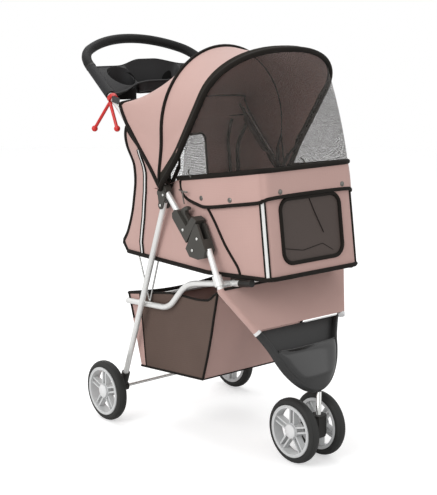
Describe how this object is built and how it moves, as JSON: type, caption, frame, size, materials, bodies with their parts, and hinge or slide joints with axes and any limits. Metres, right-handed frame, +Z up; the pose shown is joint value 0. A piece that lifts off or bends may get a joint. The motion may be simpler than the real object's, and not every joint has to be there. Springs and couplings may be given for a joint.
{
  "type": "pet stroller",
  "caption": "Folding three-wheel pet stroller: fabric cabin and canopy on a tube frame, swivel front wheels, storage basket, tray and bowed grip.",
  "frame": {"origin": "on the ground, under the middle of the bounding box", "axes": "+Z up, the stroller faces -Y, its left side is +X"},
  "size_m": [0.445, 0.77, 0.9426],
  "materials": {
    "frame_metal": "smooth satin silver-white powder coat",
    "foam": "closed-cell foam, matte black",
    "plastic_dark": "moulded dark grey plastic, fine matte grain",
    "plastic_gloss": "moulded dark grey plastic, polished",
    "red_plastic": "moulded red plastic, semi-gloss",
    "bow_black": "black sleeve over a flexible rod",
    "steel": "zinc-plated steel",
    "fabric_pink": "dusty pink woven polyester",
    "fabric_dark": "dark brown woven polyester",
    "mesh_light": "open mesh",
    "mesh_dark": "fine dark mesh",
    "piping": "black binding tape",
    "reflective": "light reflective tape",
    "snap_metal": "pressed metal snap",
    "tyre": "solid foam tyre, semi-gloss",
    "rim_silver": "moulded silver-grey plastic",
    "cap_silver": "moulded silver plastic"
  },
  "bodies": {
    "seat_frame": {"link_tube_left": "frame_metal", "link_tube_right": "frame_metal", "link_crossbar": "frame_metal", "seat_struts": "steel", "cabin_shell": "fabric_pink", "window_mesh": "mesh_dark", "cabin_floor": "fabric_dark", "floor_mat": "fabric_dark", "cabin_rim": "bow_black", "front_mesh": "mesh_light", "basket": "fabric_dark"},
    "front_frame": {"front_leg_left": "frame_metal", "front_leg_right": "frame_metal", "front_foot": "plastic_dark", "foot_pouch": "plastic_gloss", "front_panel": "fabric_pink", "lock_lower_left": "plastic_dark", "lock_lower_right": "plastic_dark", "link_bracket_left": "plastic_dark", "link_bracket_right": "plastic_dark"},
    "caster": {"caster_stem": "steel", "caster_housing": "plastic_dark", "front_axle": "steel"},
    "handle_frame": {"handle_tube_left": "frame_metal", "handle_tube_right": "frame_metal", "handle_bar": "frame_metal", "handle_grip": "foam", "tray": "plastic_dark", "lock_upper_left": "plastic_dark", "lock_upper_right": "plastic_dark", "leg_bracket_left": "plastic_dark", "leg_bracket_right": "plastic_dark", "canopy_rear": "fabric_pink"},
    "lock_latch_left": {"lock_latch_left": "plastic_dark"},
    "lock_latch_right": {"lock_latch_right": "plastic_dark"},
    "release_lever": {"release_lever": "red_plastic"},
    "middle_bow": {"bow_middle": "bow_black", "canopy_front": "fabric_pink"},
    "front_bow": {"bow_front": "bow_black"},
    "rear_frame": {"rear_leg_left": "frame_metal", "rear_leg_right": "frame_metal", "axle_bracket_left": "plastic_dark", "axle_bracket_right": "plastic_dark", "rear_axle": "steel"},
    "brake_pedal_left": {"brake_pedal_left": "red_plastic"},
    "brake_pedal_right": {"brake_pedal_right": "red_plastic"},
    "front_wheel_left": {"front_tyre_left": "tyre", "front_rim_left": "rim_silver", "front_cap_left": "cap_silver"},
    "front_wheel_right": {"front_tyre_right": "tyre", "front_rim_right": "rim_silver", "front_cap_right": "cap_silver"},
    "rear_wheel_left": {"rear_tyre_left": "tyre", "rear_rim_left": "rim_silver", "rear_cap_left": "cap_silver"},
    "rear_wheel_right": {"rear_tyre_right": "tyre", "rear_rim_right": "rim_silver", "rear_cap_right": "cap_silver"}
  },
  "joints": [
    {"name": "front_leg_swing", "type": "hinge", "parent": "seat_frame", "child": "front_frame", "pos_m": [0, -0.21809, 0.415], "axis": [1, 0, 0], "range_deg": [0, 70]},
    {"name": "frame_fold", "type": "hinge", "parent": "front_frame", "child": "handle_frame", "pos_m": [0, -0.14109, 0.482], "axis": [1, 0, 0], "range_deg": [-106.4, 0], "deforming": ["cabin_shell", "window_mesh", "cabin_rim", "basket"]},
    {"name": "rear_leg_swing", "type": "hinge", "parent": "handle_frame", "child": "rear_frame", "pos_m": [0, -0.02009, 0.567], "axis": [1, 0, 0], "range_deg": [0, 58.1]},
    {"name": "caster_swivel", "type": "hinge", "parent": "front_frame", "child": "caster", "pos_m": [0, -0.34609, 0.14], "axis": [0, 0, 1], "continuous": true},
    {"name": "front_spin_left", "type": "hinge", "parent": "caster", "child": "front_wheel_left", "pos_m": [0.041, -0.31009, 0.075], "axis": [1, 0, 0], "continuous": true},
    {"name": "front_spin_right", "type": "hinge", "parent": "caster", "child": "front_wheel_right", "pos_m": [-0.041, -0.31009, 0.075], "axis": [1, 0, 0], "continuous": true},
    {"name": "rear_spin_left", "type": "hinge", "parent": "rear_frame", "child": "rear_wheel_left", "pos_m": [0.205, 0.19491, 0.075], "axis": [1, 0, 0], "continuous": true},
    {"name": "rear_spin_right", "type": "hinge", "parent": "rear_frame", "child": "rear_wheel_right", "pos_m": [-0.205, 0.19491, 0.075], "axis": [1, 0, 0], "continuous": true},
    {"name": "canopy_fold", "type": "hinge", "parent": "handle_frame", "child": "middle_bow", "pos_m": [0, -0.01509, 0.595], "axis": [1, 0, 0], "range_deg": [-28, 0], "deforming": ["canopy_rear", "canopy_front", "front_mesh"]},
    {"name": "front_bow_fold", "type": "hinge", "parent": "middle_bow", "child": "front_bow", "pos_m": [0, -0.01509, 0.595], "axis": [1, 0, 0], "range_deg": [-25, 0]},
    {"name": "latch_slide_left", "type": "slide", "parent": "handle_frame", "child": "lock_latch_left", "axis": [0, 0.7157, 0.6984], "range_m": [0, 0.008], "stiffness_N_per_m": 300},
    {"name": "latch_slide_right", "type": "slide", "parent": "handle_frame", "child": "lock_latch_right", "axis": [0, 0.7157, 0.6984], "range_m": [0, 0.008], "stiffness_N_per_m": 300},
    {"name": "release_lever_turn", "type": "hinge", "parent": "handle_frame", "child": "release_lever", "pos_m": [-0.18105, 0.18221, 0.79713], "axis": [0.0487, 0.8182, 0.5729], "range_deg": [-15, 30]},
    {"name": "brake_left_press", "type": "hinge", "parent": "rear_frame", "child": "brake_pedal_left", "pos_m": [0, 0.21491, 0.089], "axis": [1, 0, 0], "range_deg": [-25, 0]},
    {"name": "brake_right_press", "type": "hinge", "parent": "rear_frame", "child": "brake_pedal_right", "pos_m": [0, 0.21491, 0.089], "axis": [1, 0, 0], "range_deg": [-25, 0]}
  ],
  "couplings": [
    {"joint": "front_leg_swing", "follows": "frame_fold", "ratio": -0.6578},
    {"joint": "rear_leg_swing", "follows": "frame_fold", "ratio": -0.5456},
    {"joint": "front_bow_fold", "follows": "canopy_fold", "ratio": 0.8925}
  ]
}
